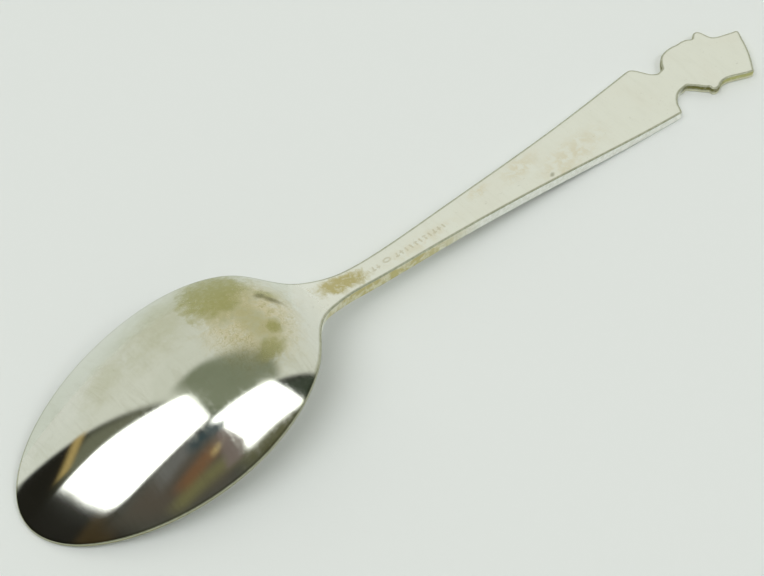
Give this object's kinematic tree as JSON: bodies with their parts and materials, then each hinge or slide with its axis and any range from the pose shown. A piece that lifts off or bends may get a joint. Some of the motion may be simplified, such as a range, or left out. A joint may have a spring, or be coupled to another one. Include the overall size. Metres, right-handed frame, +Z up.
{
  "type": "souvenir spoon",
  "caption": "One-piece silver-plated souvenir teaspoon with a deep oval bowl, a slim cranked neck, a flat tapering handle and a flat finial shaped as a head in a tall hat.",
  "frame": {"origin": "middle of the length and width, on the surface the spoon rests on when it lies with the hollow of the bowl downwards", "axes": "+X from the tip of the bowl to the top of the hat, +Z up out of the back of the spoon, +Y across"},
  "size_m": [0.1516, 0.0334, 0.0145],
  "materials": {
    "bowl_plate": "bright silver plate, lightly tarnished at the heel",
    "handle_plate": "satin silver plate with rub marks and tarnish spots",
    "relief_plate": "silver plate, darkened in the recesses"
  },
  "bodies": {
    "root": {"bowl": "bowl_plate", "neck": "handle_plate", "stem": "handle_plate", "head": "handle_plate", "hat": "handle_plate", "face_relief": "relief_plate", "hat_band": "relief_plate", "coat_lapels": "relief_plate", "bow_tie": "relief_plate", "shirt_buttons": "relief_plate"}
  },
  "joints": []
}
